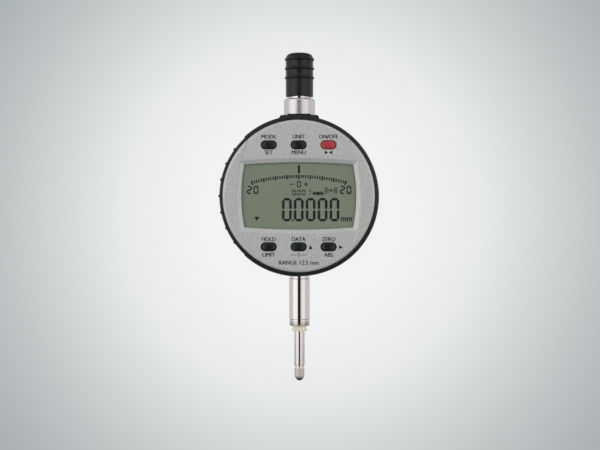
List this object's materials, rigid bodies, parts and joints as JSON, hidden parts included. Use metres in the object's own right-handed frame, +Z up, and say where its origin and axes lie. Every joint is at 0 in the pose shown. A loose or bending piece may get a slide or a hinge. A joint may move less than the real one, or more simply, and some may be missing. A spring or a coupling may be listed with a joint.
{
  "type": "digital dial indicator",
  "caption": "Plunger-type digital dial indicator with a swivelling round display, clamping stem, spring-loaded spindle, rubber lifting cap and ball contact.",
  "frame": {"origin": "on the spindle's axis, at the middle of the stem's clamping length", "axes": "+Z up the spindle towards the lifting cap, -Y out of the face, +X to the right seen from the front"},
  "size_m": [0.061, 0.0265, 0.1265],
  "materials": {
    "case_plastic": "fine moulded grain",
    "grip_plastic": "satin moulded",
    "black_plastic": "moulded",
    "ivory_plastic": "turned",
    "silver_face": "silver with a fine sparkle",
    "ground_steel": "ground and polished",
    "sleeve_steel": "polished",
    "collar_steel": "satin",
    "knurled_steel": "knurled",
    "screw_steel": "zinc plated",
    "spring_steel": "drawn wire",
    "cell_steel": "nickel plated",
    "carbide": "polished carbide",
    "bright_aluminium": "milled",
    "bronze": "turned",
    "contact_brass": "gold flashed",
    "seal_rubber": "moulded",
    "cap_rubber": "moulded, satin",
    "key_black": "silicone, satin",
    "key_red": "silicone, satin",
    "circuit_board": "solder mask",
    "flex_film": "polyimide film",
    "clear_window": "clear, coated",
    "lcd_grey": "reflective display",
    "scale_glass": "etched scale"
  },
  "bodies": {
    "body": {"case": "case_plastic", "rear_cover": "case_plastic", "rear_cover_screws": "screw_steel", "rear_seal": "seal_rubber", "stem": "ground_steel", "lower_bush": "bronze", "wiper": "ivory_plastic", "collar": "collar_steel", "upper_bush": "bronze", "chassis": "bright_aluminium", "chassis_screws": "screw_steel", "sensor_board": "circuit_board", "reading_head": "black_plastic", "sensor_screws": "screw_steel", "radio_module": "circuit_board", "coin_cell": "cell_steel", "cell_holder": "black_plastic", "cell_contacts": "contact_brass", "spring_bracket": "ground_steel", "return_spring": "spring_steel", "stop_pin": "ground_steel"},
    "display": {"display_housing": "grip_plastic", "face_plate": "silver_face", "face_screws": "screw_steel", "window_lens": "clear_window", "lcd_glass": "lcd_grey", "lcd_frame": "black_plastic", "zebra_strips": "seal_rubber", "main_board": "circuit_board", "key_domes": "contact_brass", "main_chip": "black_plastic", "board_screws": "screw_steel", "display_seal": "seal_rubber", "swivel_retainer": "ground_steel", "retainer_screws": "screw_steel", "swivel_seal": "seal_rubber", "flex_cable": "flex_film"},
    "key_top_left": {"key_top_left": "key_black"},
    "key_top_middle": {"key_top_middle": "key_black"},
    "key_top_right": {"key_top_right": "key_red"},
    "key_bottom_left": {"key_bottom_left": "key_black"},
    "key_bottom_middle": {"key_bottom_middle": "key_black"},
    "key_bottom_right": {"key_bottom_right": "key_black"},
    "spindle": {"spindle_rod": "ground_steel", "contact_holder": "knurled_steel", "contact_ball": "carbide", "lifting_sleeve": "sleeve_steel", "lifting_cap": "cap_rubber", "scale_carrier": "bright_aluminium", "measuring_scale": "scale_glass", "carrier_screws": "screw_steel", "guide_pin": "ground_steel", "stop_ring": "black_plastic"},
    "battery_door": {"battery_door": "case_plastic", "battery_door_seal": "seal_rubber"}
  },
  "joints": [
    {"name": "spindle_slide", "type": "slide", "parent": "body", "child": "spindle", "axis": [0, 0, 1], "range_m": [0, 0.0125], "stiffness_N_per_m": 20, "springref_m": -0.04, "deforming": ["return_spring"]},
    {"name": "display_swivel", "type": "hinge", "parent": "body", "child": "display", "pos_m": [0, 0, 0.0394], "axis": [0, -1, 0], "range_deg": [-140, 140]},
    {"name": "battery_door_turn", "type": "hinge", "parent": "body", "child": "battery_door", "pos_m": [-0.01, 0.0105, 0.0394], "axis": [0, 1, 0], "range_deg": [0, 45]},
    {"name": "press_top_left", "type": "slide", "parent": "display", "child": "key_top_left", "axis": [0, 1, 0], "range_m": [0, 0.0005], "stiffness_N_per_m": 600, "springref_m": -0.0005},
    {"name": "press_top_middle", "type": "slide", "parent": "display", "child": "key_top_middle", "axis": [0, 1, 0], "range_m": [0, 0.0005], "stiffness_N_per_m": 600, "springref_m": -0.0005},
    {"name": "press_top_right", "type": "slide", "parent": "display", "child": "key_top_right", "axis": [0, 1, 0], "range_m": [0, 0.0005], "stiffness_N_per_m": 600, "springref_m": -0.0005},
    {"name": "press_bottom_left", "type": "slide", "parent": "display", "child": "key_bottom_left", "axis": [0, 1, 0], "range_m": [0, 0.0005], "stiffness_N_per_m": 600, "springref_m": -0.0005},
    {"name": "press_bottom_middle", "type": "slide", "parent": "display", "child": "key_bottom_middle", "axis": [0, 1, 0], "range_m": [0, 0.0005], "stiffness_N_per_m": 600, "springref_m": -0.0005},
    {"name": "press_bottom_right", "type": "slide", "parent": "display", "child": "key_bottom_right", "axis": [0, 1, 0], "range_m": [0, 0.0005], "stiffness_N_per_m": 600, "springref_m": -0.0005}
  ]
}
